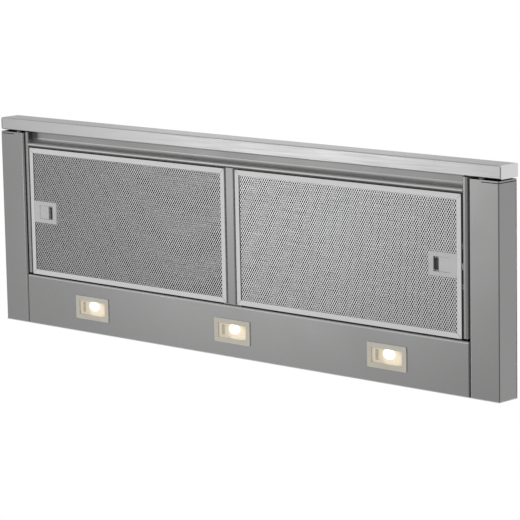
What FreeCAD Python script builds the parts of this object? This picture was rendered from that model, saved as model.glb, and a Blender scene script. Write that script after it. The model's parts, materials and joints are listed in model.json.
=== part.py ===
import FreeCAD, Part
import math
import os

# Telescopic range hood, in millimetres.
# +X is to the right, +Y points at the wall and +Z is up.
# The origin is the middle of the lower edge of the back face.

Vector = FreeCAD.Vector

# Overall sizes
hood_width = 898.0
hood_depth = 290.0
total_height = 203.0
lower_height = 35.0
housing_width = 526.0
housing_setback = 35.0
sheet = 1.0
bend_inside = 0.6
soft_bend_inside = 2.0

# Clearances
running_gap = 0.3
pin_play = 0.05

# Front bar
bar_depth = 17.1
bar_height = 33.0
bar_lift = 2.5
bar_rear_flange = 10.0
bar_top_flange = 6.0
bar_cap = 2.0
bar_plug = 8.0
bar_gap = 2.0

# Grip channel behind the bar
channel_depth = 19.2
channel_height = 11.5
channel_sweep = 6.0
channel_flare = 3.6
channel_lip = 5.2
channel_rise = 12.0
channel_sheet = 1.2
channel_bend_inside = 0.2

# Side columns
column_inset = 1.4
column_width = 46.3
column_flange = 7.0
column_cap = 1.5
cap_setback = 0.5
slit_setback = 2.0
slit_width = 1.0
slit_reach = 27.0
buffer_size = 6.0
buffer_inset = 2.5
buffer_corner = 1.2

# Filter drawer
drawer_travel = 165.0
drawer_play = 2.0
side_gap = 2.8
side_width = 7.0
side_setback = 0.4
centre_width = 15.0
centre_height = 10.0
hinge_plate_margin = 3.5
hinge_plate_lift = 1.5
rear_rail_depth = 15.0
rear_rail_sheet = 1.2

# Runners
runner_width = 12.5
runner_height = 20.0
runner_bottom = 8.0
runner_sheet = 1.2
runner_bend_inside = 0.25
runner_play = 0.4
runner_overlap = 70.0
runner_front = 9.0
runner_lip_gap = 2.0

# Filters
filter_gap = 2.5
filter_front_gap = 2.7
filter_rear_gap = 2.0
filter_thickness = 9.0
filter_border = 6.7
filter_wall = 1.0
pack_thickness = 2.0
hinge_radius = 1.25
hinge_inset = 2.25
hinge_height = 3.5
tab_width = 7.0
tab_reach = 2.0
tab_spread = 25.0
tab_lift = 3.0

# Latches
latch_length = 45.3
latch_width = 30.5
latch_depth = 8.0
latch_chamfer = 0.5
recess_width = 19.0
recess_depth = 5.5
recess_inset = 11.3
slider_length = 17.3
slider_lift = 0.4
slider_thickness = 4.0
slider_travel = 8.2
tongue_width = 8.0
tongue_thickness = 2.0
tongue_lift = 2.0

# Lamp panel and lamps
panel_depth = 70.0
panel_gap = 1.8
panel_front_flange = 16.0
panel_rear_flange = 12.0
lamp_end_inset = 131.0
lamp_back = 34.8
bezel_length = 64.5
bezel_width = 32.2
bezel_proud = 1.2
bezel_corner = 2.0
bezel_skirt = 8.0
bezel_skirt_wall = 1.6
window_length = 51.0
window_width = 19.3
glass_margin = 1.0
glass_thickness = 2.5
glass_lift = 0.8
reflector_height = 25.0
reflector_wall = 0.8
reflector_flange = 4.0
socket_length = 11.0
socket_width = 13.0
socket_height = 9.0
bulb_radius = 4.6
bulb_length = 19.0
bulb_height = 13.0
bulb_pin_radius = 0.5
bulb_pin_length = 6.0
bulb_pin_pitch = 4.0

# Deck and housing
intake_length = 480.0
intake_front_margin = 50.0
intake_back = 35.0
side_flange = 15.0
fixing_hole_radius = 2.25
fixing_pitch = 140.0
fixing_height = 110.0
screw_head_radius = 3.6
screw_head_height = 2.2
screw_head_edge = 1.1
screw_radius = 1.5
screw_length = 6.0
screw_rows = 3
screw_row_pitch = 92.0

# Blower
scroll_roof_gap = 5.6
scroll_width = 110.0
scroll_sheet = 1.2
scroll_floor_gap = 9.0
outlet_depth = 96.0
inlet_lap = 4.0
impeller_gap = 15.0
blade_ring = 12.0
impeller_length = 100.0
impeller_disc = 2.0
impeller_ring = 2.0
hub_radius = 9.0
hub_length = 14.0
blade_count = 36
blade_sheet = 1.2
blade_lean = 25.0
blade_chord = 10.2
shaft_radius = 4.0
shaft_seat = 20.0
shaft_end_gap = 1.0
motor_radius = 32.0
motor_edge = 3.2
motor_gap = 4.0
bracket_thickness = 3.0
bracket_arm_width = 10.0
bracket_ring = 8.0
bracket_arms = 3

# Outlet collar and flaps
collar_radius = 74.5
collar_wall = 2.0
collar_height = 40.0
collar_base = 3.0
collar_flange = 172.0
collar_corner = 8.0
collar_setback = 130.0
flap_sheet = 1.2
flap_gap = 0.4
flap_edge_gap = 0.7
flap_pin_radius = 1.5
flap_pin_height = 3.2
knuckle_radius = 2.6
knuckle_length = 30.0
knuckle_gap = 0.6
knuckle_count = 4

# Fixed inner filter
inner_filter_margin = 21.5
inner_filter_depth = 168.0
inner_filter_thickness = 8.0
inner_filter_border = 12.0
inner_filter_lift = 15.0
arm_width = 16.0
arm_thickness = 1.2

# Electrical pieces
transformer_length = 60.0
transformer_width = 28.0
transformer_height = 28.0
transformer_corner = 3.0
capacitor_radius = 14.0
capacitor_height = 62.0
capacitor_edge = 1.6
electric_offset = 160.0
electric_gap = 1.0
cover_length = 90.0
cover_width = 60.0
cover_height = 22.0
cover_wall = 2.0
cover_corner = 4.0
cover_edge = 2.0
cover_place = 190.0
cable_hole_radius = 10.0
gland_radius = 8.5
gland_neck_radius = 6.0
gland_bore_radius = 4.0
gland_reach = 8.0
gland_edge = 1.6
switch_length = 18.0
switch_depth = 12.0
switch_height = 15.0
switch_inset = 51.5
switch_setback = 3.0
switch_wall = 2.0
plunger_radius = 1.25
plunger_travel = 2.5
plunger_passage_gap = 1.0

# Switch plate and knobs
plate_length = 90.0
plate_width = 20.0
plate_thickness = 1.4
plate_inset = 21.5
plate_setback = 5.0
plate_corner = 1.0
fan_knob_travel = 18.0
light_knob_travel = 6.0
knob_pitch = 42.0
knob_length = 9.0
knob_width = 11.0
knob_cap = 0.8
knob_stem = 4.0
knob_depth = 5.0

# Levels and edges that follow
deck_under = lower_height - sheet
drawer_roof = deck_under - drawer_play
side_top = drawer_roof - sheet
housing_under_top = total_height - sheet
bar_top = bar_lift + bar_height

fold = sheet + bend_inside
fold_soft = sheet + soft_bend_inside
channel_bend = channel_sheet + channel_bend_inside
runner_bend = runner_sheet + runner_bend_inside

bar_half = hood_width / 2
column_out = bar_half - column_inset
column_in = column_out - column_width
side_out = column_in - side_gap
side_in = side_out - side_width
filter_out = side_in - filter_gap
centre_half = centre_width / 2
filter_in = centre_half + filter_gap
column_wall = side_out + runner_width
panel_half = column_in - panel_gap
housing_half = housing_width / 2
housing_depth = hood_depth - housing_setback

front = -hood_depth
bar_rear = front + bar_depth
column_front = bar_rear + bar_gap
lip_rear = bar_rear + channel_depth
panel_front = -panel_depth
filter_front = lip_rear + filter_front_gap
filter_rear = panel_front - filter_rear_gap
filter_middle = (filter_front + filter_rear) / 2
centre_rear = filter_rear + running_gap
side_front = bar_rear + side_setback
side_rear = filter_rear - sheet

hinge_x = filter_in + hinge_inset
runner_top = runner_bottom + runner_height
runner_length = drawer_travel + runner_overlap
runner_start = column_front + runner_front
fixed_span = (runner_start, runner_start + runner_length)
drawer_span = (runner_start, side_rear)

border_in = filter_out - filter_border
latch_in = border_in - latch_length
recess_out = border_in - recess_inset
slider_out = recess_out - running_gap
slider_in = slider_out - slider_length
recess_in = slider_in - slider_travel - running_gap

lamp_y = -lamp_back
lamp_end = panel_half - lamp_end_inset
lamp_xs = (-lamp_end, 0.0, lamp_end)
skirt_length = window_length + 2 * glass_margin + 2 * bezel_skirt_wall
skirt_width = window_width + 2 * glass_margin + 2 * bezel_skirt_wall

collar_y = -housing_depth + collar_setback
intake_front = housing_depth - intake_front_margin
scroll_height = housing_under_top - lower_height - scroll_floor_gap - scroll_roof_gap
scroll_radius = scroll_height / 2 - scroll_sheet
impeller_radius = scroll_radius - impeller_gap
impeller_inner = impeller_radius - blade_ring
inlet_radius = impeller_inner - inlet_lap
blower_y = collar_y + outlet_depth / 2 - scroll_radius
blower_z = lower_height + scroll_floor_gap + scroll_sheet + scroll_radius
scroll_half = scroll_width / 2
scroll_out = scroll_half + scroll_sheet
collar_top = total_height + collar_height
flange_top = total_height + collar_base
flap_pin_z = flange_top + flap_pin_height
collar_inner = collar_radius - collar_wall

rear_rail_low = centre_height
rear_rail_high = rear_rail_low + rear_rail_sheet
plunger_z = (rear_rail_low + rear_rail_high) / 2

switch_place = side_in - switch_inset
plate_place = side_in - plate_inset - plate_length / 2
plate_front = bar_rear + plate_setback
plate_top = side_top + plate_thickness


# Building blocks


def block(x, y, z):
    """A box between the low and high ends given for each axis."""
    return Part.makeBox(x[1] - x[0], y[1] - y[0], z[1] - z[0], Vector(x[0], y[0], z[0]))


def around(middle, size):
    """The low and high ends of a stretch of this size about a middle."""
    return (middle - size / 2, middle + size / 2)


def rod(radius, start, end):
    """A round bar between two points."""
    return Part.makeCylinder(radius, (end - start).Length, start, end - start)


def rod_x(radius, x, y, z):
    """A round bar along X."""
    return rod(radius, Vector(x[0], y, z), Vector(x[1], y, z))


def rod_y(radius, x, y, z):
    """A round bar along Y."""
    return rod(radius, Vector(x, y[0], z), Vector(x, y[1], z))


def rod_z(radius, x, y, z):
    """A round bar along Z."""
    return rod(radius, Vector(x, y, z[0]), Vector(x, y, z[1]))


def edges_along(solid, way):
    """The straight edges of a solid that run along a unit vector."""
    return [edge for edge in solid.Edges if abs(edge.tangentAt(edge.FirstParameter).dot(way)) > 0.99]


def rounded_block(x, y, z, radius):
    """A box whose upright edges are rounded."""
    solid = block(x, y, z)
    return solid.makeFillet(radius, edges_along(solid, Vector(0, 0, 1)))


def mirrored(solid):
    """The same piece on the left."""
    return solid.mirror(Vector(0, 0, 0), Vector(1, 0, 0))


def rounded_run(corners, radii):
    """Straight runs through the corners, joined by tangent arcs."""
    edges = []
    start = corners[0]
    for before, corner, after, radius in zip(corners, corners[1:], corners[2:], radii):
        back = (before - corner).normalize()
        ahead = (after - corner).normalize()
        half_angle = back.getAngle(ahead) / 2
        reach = radius / math.tan(half_angle)
        first = corner + back * reach
        last = corner + ahead * reach
        bisector = (back + ahead).normalize()
        middle = corner + bisector * (radius / math.sin(half_angle) - radius)
        edges.append(Part.LineSegment(start, first).toShape())
        edges.append(Part.Arc(first, middle, last).toShape())
        start = last
    edges.append(Part.LineSegment(start, corners[-1]).toShape())
    return edges


def folded_sheet(corners, radii, thickness, normal, length):
    """A folded sheet whose outer side runs through the corners, drawn out along normal.

    The metal lies to the left of the run, seen with normal pointing at the eye.
    """
    ways = [(end - start).normalize() for start, end in zip(corners, corners[1:])]
    lefts = [normal.cross(way) for way in ways]
    inner = [corners[0] + lefts[0] * thickness]
    inner_radii = []
    for index, radius in enumerate(radii):
        shift = (lefts[index] + lefts[index + 1]) * (1 / (1 + lefts[index].dot(lefts[index + 1])))
        inner.append(corners[index + 1] + shift * thickness)
        turns_left = lefts[index].dot(ways[index + 1]) > 0
        inner_radii.append(radius - thickness if turns_left else radius + thickness)
    inner.append(corners[-1] + lefts[-1] * thickness)
    outline = rounded_run(corners, radii)
    outline.append(Part.LineSegment(corners[-1], inner[-1]).toShape())
    outline += list(reversed(rounded_run(inner, inner_radii)))
    outline.append(Part.LineSegment(inner[0], corners[0]).toShape())
    return Part.Face(Part.Wire(outline)).extrude(normal * length)


def sheet_along_x(section, radii, thickness, x):
    """A folded sheet with its section given as (y, z) corners."""
    corners = [Vector(x[0], y, z) for y, z in section]
    return folded_sheet(corners, radii, thickness, Vector(1, 0, 0), x[1] - x[0])


def sheet_along_y(section, radii, thickness, y):
    """A folded sheet with its section given as (x, z) corners."""
    corners = [Vector(x, y[1], z) for x, z in section]
    return folded_sheet(corners, radii, thickness, Vector(0, -1, 0), y[1] - y[0])


def ring_frame(x, y, z, border, wall):
    """A picture frame of inward C section."""
    solid = block(x, y, z)
    window = block((x[0] + border, x[1] - border), (y[0] + border, y[1] - border), z)
    groove = block((x[0] + wall, x[1] - wall), (y[0] + wall, y[1] - wall), (z[0] + wall, z[1] - wall))
    return solid.cut(window.fuse(groove))


# Front bar and drawer


def front_bar():
    section = [
        (bar_rear, bar_top - bar_top_flange),
        (bar_rear, bar_top),
        (front, bar_top),
        (front, bar_lift),
        (bar_rear, bar_lift),
        (bar_rear, bar_lift + bar_rear_flange),
    ]
    reach = bar_half - bar_cap
    return sheet_along_x(section, [fold] * 4, sheet, (-reach, reach))


def bar_cap_right():
    seam = bar_half - bar_cap
    plate = block((seam, bar_half), (front, bar_rear), (bar_lift, bar_top))
    along = Vector(1, 0, 0)
    plate = plate.makeFillet(fold, edges_along(plate, along))
    inset = sheet + pin_play
    plug = block(
        (seam - bar_plug, seam),
        (front + inset, bar_rear - inset),
        (bar_lift + inset, bar_top - inset),
    )
    plug = plug.makeFillet(fold, edges_along(plug, along))
    return plate.fuse(plug).removeSplitter()


def grip_channel():
    sweep_rear = lip_rear - channel_lip
    section = [
        (bar_rear, side_top),
        (bar_rear, channel_height),
        (sweep_rear, channel_height),
        (sweep_rear, 0),
        (lip_rear, 0),
        (lip_rear, channel_rise),
    ]
    bends = [channel_bend, channel_sweep, channel_flare, channel_bend]
    solid = sheet_along_x(section, bends, channel_sheet, (-side_in, side_in))
    for x in (-hinge_x, hinge_x):
        hole = rod_y(hinge_radius + pin_play, x, (lip_rear - 2 * channel_sheet, lip_rear), hinge_height)
        solid = solid.cut(hole)
    return solid


def drawer_side_right():
    section = [(side_in, side_top), (side_in, 0), (side_out, 0), (side_out, side_top)]
    solid = sheet_along_y(section, [fold, fold_soft], sheet, (side_front, side_rear))
    keeper = block(
        (side_in, side_in + sheet),
        around(filter_middle, tongue_width + 2 * running_gap),
        (tongue_lift - running_gap, tongue_lift + tongue_thickness + running_gap),
    )
    return solid.cut(keeper)


def centre_bar():
    section = [
        (-centre_half, centre_height),
        (-centre_half, 0),
        (centre_half, 0),
        (centre_half, centre_height),
    ]
    solid = sheet_along_y(section, [fold, fold], sheet, (lip_rear, centre_rear))
    plate_half = hinge_x + hinge_plate_margin
    plate_y = (centre_rear, centre_rear + sheet)
    plate = block((-plate_half, plate_half), plate_y, (hinge_plate_lift, centre_height))
    for x in (-hinge_x, hinge_x):
        plate = plate.cut(rod_y(hinge_radius + pin_play, x, plate_y, hinge_height))
    return solid.fuse(plate).removeSplitter()


def drawer_rear_rail():
    y = (side_rear - rear_rail_depth, side_rear)
    return block((-side_in, side_in), y, (rear_rail_low, rear_rail_high))


def drawer_top():
    solid = block((-side_out, side_out), (bar_rear, side_rear), (side_top, drawer_roof))
    seat_y = (plate_front, plate_front + plate_width)
    seat = block(around(plate_place, plate_length), seat_y, (side_top, drawer_roof))
    return solid.cut(seat)


def knob_middle(number):
    """Rest place of the fan knob (0) and of the light knob (1) along X."""
    return plate_place + (number - 0.5) * knob_pitch


def knob_slot(number, travel):
    """The slot of a knob, which runs from its rest place to the right."""
    start = knob_middle(number) - knob_stem / 2 - running_gap
    end = knob_middle(number) + travel + knob_stem / 2 + running_gap
    middle = plate_front + plate_width / 2
    return block((start, end), around(middle, knob_stem + 2 * running_gap), (side_top, plate_top))


def switch_plate():
    x = around(plate_place, plate_length)
    solid = rounded_block(x, (plate_front, plate_front + plate_width), (side_top, plate_top), plate_corner)
    solid = solid.cut(knob_slot(0, fan_knob_travel))
    return solid.cut(knob_slot(1, light_knob_travel))


def knob(number):
    x = knob_middle(number)
    y = plate_front + plate_width / 2
    low = plate_top + running_gap
    cap = rounded_block(around(x, knob_length), around(y, knob_width), (low, low + knob_cap), plate_corner)
    stem = block(around(x, knob_stem), around(y, knob_stem), (side_top - knob_depth, low))
    return cap.fuse(stem).removeSplitter()


# Runners


def runner_right(step, span):
    """One member of the right runner: step 0 is on the column, 1 in the middle, 2 on the drawer."""
    inset = step * (runner_sheet + runner_play)
    low = runner_bottom + inset
    high = runner_top - inset
    outer = column_wall - inset
    tip = side_out + runner_lip_gap
    section = [(tip, low), (outer, low), (outer, high), (tip, high)]
    if step == 2:
        section = [(outer, high), (side_out, high), (side_out, low), (outer, low)]
    return sheet_along_y(section, [runner_bend] * 2, runner_sheet, span)


# Fixed lower section


def column_right():
    section = [
        (column_in, column_flange),
        (column_in, 0),
        (column_out, 0),
        (column_out, deck_under),
        (column_wall, deck_under),
        (column_wall, runner_bottom),
    ]
    bends = [fold_soft, fold, fold, fold]
    solid = sheet_along_y(section, bends, sheet, (column_front, -sheet))
    slit_front = column_front + slit_setback
    slit = block(
        (column_out - slit_reach, column_out),
        (slit_front, slit_front + slit_width),
        (0, deck_under - fold),
    )
    return solid.cut(slit)


def cap_front():
    """Front of the plug inside each column's end."""
    return column_front + cap_setback


def column_cap_right():
    plate = block(
        (column_wall + sheet, column_out - sheet),
        (cap_front(), cap_front() + column_cap),
        (sheet, deck_under - sheet),
    )
    return plate.makeFillet(fold, edges_along(plate, Vector(0, 1, 0)))


def buffer_right():
    middle = column_wall + buffer_inset + buffer_size / 2
    low = bar_lift + fold
    y = (bar_rear + running_gap, cap_front())
    pad = block(around(middle, buffer_size), y, (low, low + buffer_size))
    return pad.makeFillet(buffer_corner, edges_along(pad, Vector(0, 1, 0)))


def lamp_panel():
    section = [
        (panel_front, panel_front_flange),
        (panel_front, 0),
        (-sheet, 0),
        (-sheet, panel_rear_flange),
    ]
    solid = sheet_along_x(section, [fold_soft, fold], sheet, (-panel_half, panel_half))
    for x in lamp_xs:
        solid = solid.cut(block(
            around(x, skirt_length + 2 * pin_play), around(lamp_y, skirt_width + 2 * pin_play), (0, sheet)
        ))
    flange_y = (panel_front, panel_front + sheet)
    passage = rod_y(plunger_radius + plunger_passage_gap, switch_place, flange_y, plunger_z)
    return solid.cut(passage)


def rear_rail():
    return block((-column_out, column_out), (-sheet, 0), (0, deck_under))


def deck_plate():
    solid = block((-column_out, column_out), (column_front, 0), (deck_under, lower_height))
    intake = block(around(0, intake_length), (-intake_front, -intake_back), (deck_under, lower_height))
    return solid.cut(intake)


def inner_filter_place():
    """The (x, y, z) stretches of the fixed inner filter."""
    y = (filter_rear - inner_filter_depth, filter_rear)
    z = (inner_filter_lift, inner_filter_lift + inner_filter_thickness)
    half = side_in - inner_filter_margin
    return (-half, half), y, z


def inner_filter_frame():
    x, y, z = inner_filter_place()
    return ring_frame(x, y, z, inner_filter_border, filter_wall)


def inner_filter_pack():
    x, y, z = inner_filter_place()
    inset = filter_wall + pin_play
    low = z[0] + filter_wall
    return block(
        (x[0] + inset, x[1] - inset), (y[0] + inset, y[1] - inset), (low, low + pack_thickness)
    )


def inner_filter_arm_right():
    x, y, z = inner_filter_place()
    return block((x[1] - arm_width, x[1]), (y[0], panel_front), (z[0] - arm_thickness, z[0]))


# Lamps


def lamp_bezel(x):
    face = rounded_block(
        around(x, bezel_length), around(lamp_y, bezel_width), (-bezel_proud, 0), bezel_corner
    )
    skirt = block(around(x, skirt_length), around(lamp_y, skirt_width), (0, bezel_skirt))
    window = block(
        around(x, window_length), around(lamp_y, window_width), (-bezel_proud, bezel_skirt)
    )
    pocket = block(
        around(x, window_length + 2 * glass_margin),
        around(lamp_y, window_width + 2 * glass_margin),
        (glass_lift, bezel_skirt),
    )
    return face.fuse(skirt).removeSplitter().cut(window.fuse(pocket))


def lamp_glass(x):
    length = window_length + 2 * glass_margin - 2 * pin_play
    width = window_width + 2 * glass_margin - 2 * pin_play
    return block(around(x, length), around(lamp_y, width), (glass_lift, glass_lift + glass_thickness))


def lamp_reflector(x):
    inner_length = skirt_length + 2 * pin_play
    inner_width = skirt_width + 2 * pin_play
    wall = 2 * reflector_wall
    flange = 2 * reflector_flange
    top = sheet + reflector_height
    solid = block(around(x, inner_length + wall), around(lamp_y, inner_width + wall), (sheet, top))
    rim = block(
        around(x, inner_length + flange),
        around(lamp_y, inner_width + flange),
        (sheet, sheet + reflector_wall),
    )
    hollow = block(around(x, inner_length), around(lamp_y, inner_width), (sheet, top - reflector_wall))
    return solid.fuse(rim).removeSplitter().cut(hollow)


def socket_ends(x):
    """The low and high ends of a lamp socket along X."""
    start = x - skirt_length / 2 - pin_play
    return (start, start + socket_length)


def bulb_pins(x, radius):
    """The two pins of a bulb, or with a larger radius their holes."""
    face = socket_ends(x)[1]
    pins = []
    for side in (-0.5, 0.5):
        y = lamp_y + side * bulb_pin_pitch
        pins.append(rod_x(radius, (face - bulb_pin_length, face), y, bulb_height))
    return pins


def lamp_socket(x):
    z = around(bulb_height, socket_height)
    solid = block(socket_ends(x), around(lamp_y, socket_width), z)
    for hole in bulb_pins(x, bulb_pin_radius + pin_play):
        solid = solid.cut(hole)
    return solid


def lamp_bulb(x):
    start = socket_ends(x)[1]
    tip = start + bulb_length - bulb_radius
    tube = rod_x(bulb_radius, (start, tip), lamp_y, bulb_height)
    dome = Part.makeSphere(bulb_radius, Vector(tip, lamp_y, bulb_height))
    solid = tube.fuse(dome).removeSplitter()
    return solid.fuse(bulb_pins(x, bulb_pin_radius)).removeSplitter()


# Filters


def filter_frame_right():
    y = (filter_front, filter_rear)
    solid = ring_frame((filter_in, filter_out), y, (0, filter_thickness), filter_border, filter_wall)
    tongue_way = block(
        (filter_out - filter_wall, filter_out),
        around(filter_middle, tongue_width + 2 * running_gap),
        (tongue_lift - running_gap, tongue_lift + tongue_thickness + running_gap),
    )
    solid = solid.cut(tongue_way)
    added = [
        rod_y(hinge_radius, hinge_x, (lip_rear - channel_sheet, filter_front + filter_wall), hinge_height),
        rod_y(hinge_radius, hinge_x, (filter_rear - filter_wall, centre_rear + sheet), hinge_height),
    ]
    for side in (-tab_spread, tab_spread):
        x = (filter_out - filter_wall, filter_out + tab_reach)
        z = (tab_lift, tab_lift + filter_wall)
        added.append(block(x, around(filter_middle + side, tab_width), z))
    return solid.fuse(added).removeSplitter()


def filter_pack_right():
    inset = filter_wall + pin_play
    solid = block(
        (filter_in + inset, filter_out - inset),
        (filter_front + inset, filter_rear - inset),
        (filter_wall, filter_wall + pack_thickness),
    )
    latch_room = block(
        (latch_in - pin_play, filter_out),
        around(filter_middle, latch_width + 2 * pin_play),
        (filter_wall, filter_wall + pack_thickness),
    )
    return solid.cut(latch_room)


def latch_housing_right():
    solid = block((latch_in, border_in), around(filter_middle, latch_width), (0, latch_depth))
    edges = [edge for edge in solid.Edges if edge.CenterOfMass.z < pin_play]
    solid = solid.makeChamfer(latch_chamfer, edges)
    recess = block((recess_in, recess_out), around(filter_middle, recess_width), (0, recess_depth))
    tongue_way = block(
        (recess_out, border_in),
        around(filter_middle, tongue_width + 2 * running_gap),
        (tongue_lift - running_gap, tongue_lift + tongue_thickness + running_gap),
    )
    return solid.cut(recess.fuse(tongue_way))


def latch_slider_right():
    y = around(filter_middle, recess_width - 2 * running_gap)
    plate = block((slider_in, slider_out), y, (slider_lift, slider_lift + slider_thickness))
    tongue = block(
        (slider_out, side_in - running_gap),
        around(filter_middle, tongue_width),
        (tongue_lift, tongue_lift + tongue_thickness),
    )
    return plate.fuse(tongue).removeSplitter()


# Housing


def screw_places():
    """The (x, y) places of the screws through the housing's top."""
    along_side = housing_half - side_flange / 2
    along_front = -housing_depth + side_flange / 2
    middle = -housing_depth / 2
    places = []
    for row in range(screw_rows):
        y = middle + (row - (screw_rows - 1) / 2) * screw_row_pitch
        places += [(-along_side, y), (along_side, y)]
    places += [(-along_side / 2, along_front), (along_side / 2, along_front)]
    return places


def with_screw_holes(solid):
    """The solid with a clear hole at each screw."""
    z = (housing_under_top - sheet, total_height)
    for x, y in screw_places():
        solid = solid.cut(rod_z(screw_radius + pin_play, x, y, z))
    return solid


def housing_right():
    inner = housing_half - side_flange
    section = [
        (inner, lower_height),
        (housing_half, lower_height),
        (housing_half, housing_under_top),
        (inner, housing_under_top),
    ]
    y = (-housing_depth + sheet, -sheet)
    solid = sheet_along_y(section, [fold, fold], sheet, y)
    corner_y = (y[0], -housing_depth + side_flange + sheet)
    for z in (lower_height, housing_under_top - sheet):
        solid = solid.cut(block((inner, housing_half - sheet), corner_y, (z, z + sheet)))
    middle = -housing_depth / 2
    for side in (-0.5, 0.5):
        hole_y = middle + side * fixing_pitch
        hole = rod_x(fixing_hole_radius, (housing_half - sheet, housing_half), hole_y, fixing_height)
        solid = solid.cut(hole)
    return with_screw_holes(solid)


def housing_front():
    rear = -housing_depth + side_flange
    section = [
        (rear, housing_under_top),
        (-housing_depth, housing_under_top),
        (-housing_depth, lower_height),
        (rear, lower_height),
    ]
    reach = housing_half - fold
    return with_screw_holes(sheet_along_x(section, [fold, fold], sheet, (-reach, reach)))


def housing_back():
    return block((-housing_half, housing_half), (-sheet, 0), (lower_height, total_height))


def outlet_stretch():
    """The (x, y) stretches of the way out of the blower."""
    return around(0, scroll_width), around(collar_y, outlet_depth)


def housing_top():
    z = (housing_under_top, total_height)
    solid = block((-housing_half, housing_half), (-housing_depth, -sheet), z)
    x, y = outlet_stretch()
    solid = solid.cut(block(x, y, z))
    solid = solid.cut(rod_z(cable_hole_radius, -cover_place, collar_y, z))
    return with_screw_holes(solid)


def housing_screws():
    screws = []
    z = (total_height - screw_length, total_height)
    for x, y in screw_places():
        head = rod_z(screw_head_radius, x, y, (total_height, total_height + screw_head_height))
        rim = [edge for edge in head.Edges if edge.CenterOfMass.z > total_height + screw_head_height / 2]
        head = head.makeFillet(screw_head_edge, [edge for edge in rim if edge.Closed])
        screws.append(head.fuse(rod_z(screw_radius, x, y, z)).removeSplitter())
    return Part.makeCompound(screws)


# Blower


def scroll_outline(radius, x, low_y, top):
    """The scroll's outline: a drum and the straight way up to the outlet."""
    drum = rod_x(radius, x, blower_y, blower_z)
    way_up = block(x, (low_y, blower_y + radius), (blower_z, top))
    return drum.fuse(way_up).removeSplitter()


def scroll_wrap():
    x = (-scroll_half, scroll_half)
    inner_y = outlet_stretch()[1][0]
    outer = scroll_outline(scroll_radius + scroll_sheet, x, inner_y - scroll_sheet, housing_under_top)
    return outer.cut(scroll_outline(scroll_radius, x, inner_y, housing_under_top))


def scroll_side_right():
    x = (scroll_half, scroll_out)
    low_y = outlet_stretch()[1][0] - scroll_sheet
    solid = scroll_outline(scroll_radius + scroll_sheet, x, low_y, housing_under_top)
    return solid.cut(rod_x(inlet_radius, x, blower_y, blower_z))


def impeller():
    half = impeller_length / 2
    disc_half = impeller_disc / 2
    solid = rod_x(impeller_radius, (-disc_half, disc_half), blower_y, blower_z)
    solid = solid.fuse(rod_x(hub_radius, (disc_half, disc_half + hub_length), blower_y, blower_z))
    added = []
    for x in ((-half, -half + impeller_ring), (half - impeller_ring, half)):
        ring = rod_x(impeller_radius, x, blower_y, blower_z)
        added.append(ring.cut(rod_x(impeller_inner, x, blower_y, blower_z)))
    middle_radius = (impeller_radius + impeller_inner) / 2
    for number in range(blade_count):
        blade = block((-half, half), around(0, blade_sheet), around(0, blade_chord))
        blade.rotate(Vector(0, 0, 0), Vector(1, 0, 0), blade_lean)
        blade.translate(Vector(0, blower_y, blower_z + middle_radius))
        blade.rotate(Vector(0, blower_y, blower_z), Vector(1, 0, 0), 360 * number / blade_count)
        added.append(blade)
    solid = solid.fuse(added)
    bore = rod_x(shaft_radius + pin_play, (-half, half), blower_y, blower_z)
    return solid.cut(bore)


def motor_ends():
    """The low and high ends of the motor along X."""
    return (-scroll_out, -impeller_disc / 2 - motor_gap)


def fan_shaft():
    start = motor_ends()[1] - shaft_seat
    return rod_x(shaft_radius, (start, impeller_disc / 2 + hub_length), blower_y, blower_z)


def fan_motor():
    ends = motor_ends()
    can = rod_x(motor_radius, ends, blower_y, blower_z)
    rims = [edge for edge in can.Edges if edge.Closed]
    can = can.makeFillet(motor_edge, rims)
    seat_x = (ends[1] - shaft_seat - shaft_end_gap, ends[1])
    seat = rod_x(shaft_radius + pin_play, seat_x, blower_y, blower_z)
    return can.cut(seat)


def motor_bracket():
    x = (-scroll_out - bracket_thickness, -scroll_out)
    solid = rod_x(motor_radius, x, blower_y, blower_z)
    arms = []
    for number in range(bracket_arms):
        arm_z = (blower_z, blower_z + inlet_radius + bracket_ring)
        arm = block(x, around(blower_y, bracket_arm_width), arm_z)
        arm.rotate(Vector(0, blower_y, blower_z), Vector(1, 0, 0), 360 * number / bracket_arms)
        arms.append(arm)
    solid = solid.fuse(arms).removeSplitter()
    return solid.cut(rod_x(motor_radius - bracket_ring, x, blower_y, blower_z))


# Outlet collar and flaps


def outlet_collar():
    base = rounded_block(
        around(0, collar_flange), around(collar_y, collar_flange), (total_height, flange_top), collar_corner
    )
    tube = rod_z(collar_radius, 0, collar_y, (flange_top, collar_top))
    tube = tube.cut(rod_z(collar_inner, 0, collar_y, (flange_top, collar_top)))
    x, y = outlet_stretch()
    solid = base.fuse(tube).removeSplitter().cut(block(x, y, (total_height, flange_top)))
    pin_way = rod_x(flap_pin_radius + pin_play, (-collar_radius, collar_radius), collar_y, flap_pin_z)
    return solid.cut(pin_way)


def flap_pin():
    reach = collar_radius - running_gap
    reach -= collar_radius - math.sqrt(collar_radius**2 - flap_pin_radius**2)
    return rod_x(flap_pin_radius, (-reach, reach), collar_y, flap_pin_z)


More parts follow.
